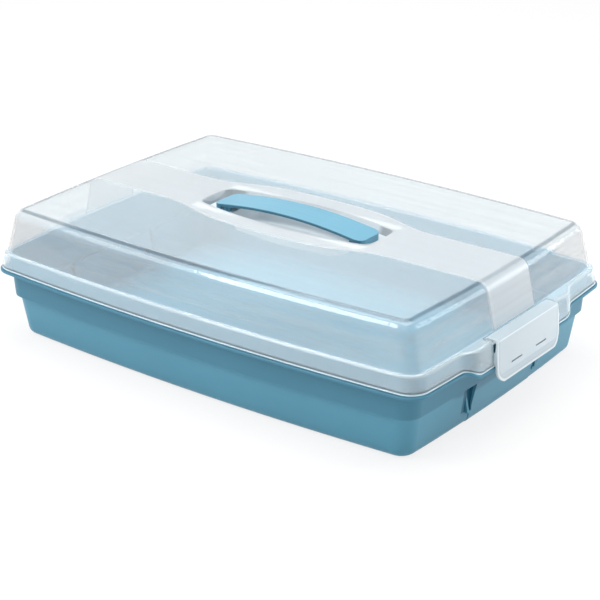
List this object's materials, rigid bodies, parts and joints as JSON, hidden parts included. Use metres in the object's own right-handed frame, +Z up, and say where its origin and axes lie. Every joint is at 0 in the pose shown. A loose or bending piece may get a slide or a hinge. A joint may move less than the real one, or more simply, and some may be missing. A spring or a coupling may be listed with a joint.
{
  "type": "rectangular cake container",
  "caption": "Rectangular cake carrier: a deep tray, a clear domed cover with a carry handle let into its top, and a hinged clip at each short end that hooks under the tray's rim.",
  "frame": {"origin": "middle of the underside of the tray, on the table", "axes": "+X along the long side towards the right clip, +Y across the width, +Z up"},
  "size_m": [0.4454, 0.295, 0.1158],
  "materials": {
    "tray_blue": "satin",
    "cover_clear": "clear, with a frosted band across the middle",
    "handle_blue": "satin",
    "clip_milky": "milky translucent"
  },
  "bodies": {
    "tray": {"tray": "tray_blue"},
    "cover": {"cover": "cover_clear", "handle": "handle_blue"},
    "clip_right": {"clip_right": "clip_milky"},
    "clip_left": {"clip_left": "clip_milky"}
  },
  "joints": [
    {"name": "cover_lift", "type": "slide", "parent": "tray", "child": "cover", "axis": [0, 0, 1], "range_m": [0, 0.12]},
    {"name": "clip_right_hinge", "type": "hinge", "parent": "cover", "child": "clip_right", "pos_m": [0.214, 0, 0.0722], "axis": [0, -1, 0], "range_deg": [0, 120]},
    {"name": "clip_left_hinge", "type": "hinge", "parent": "cover", "child": "clip_left", "pos_m": [-0.214, 0, 0.0722], "axis": [0, 1, 0], "range_deg": [0, 120]}
  ]
}
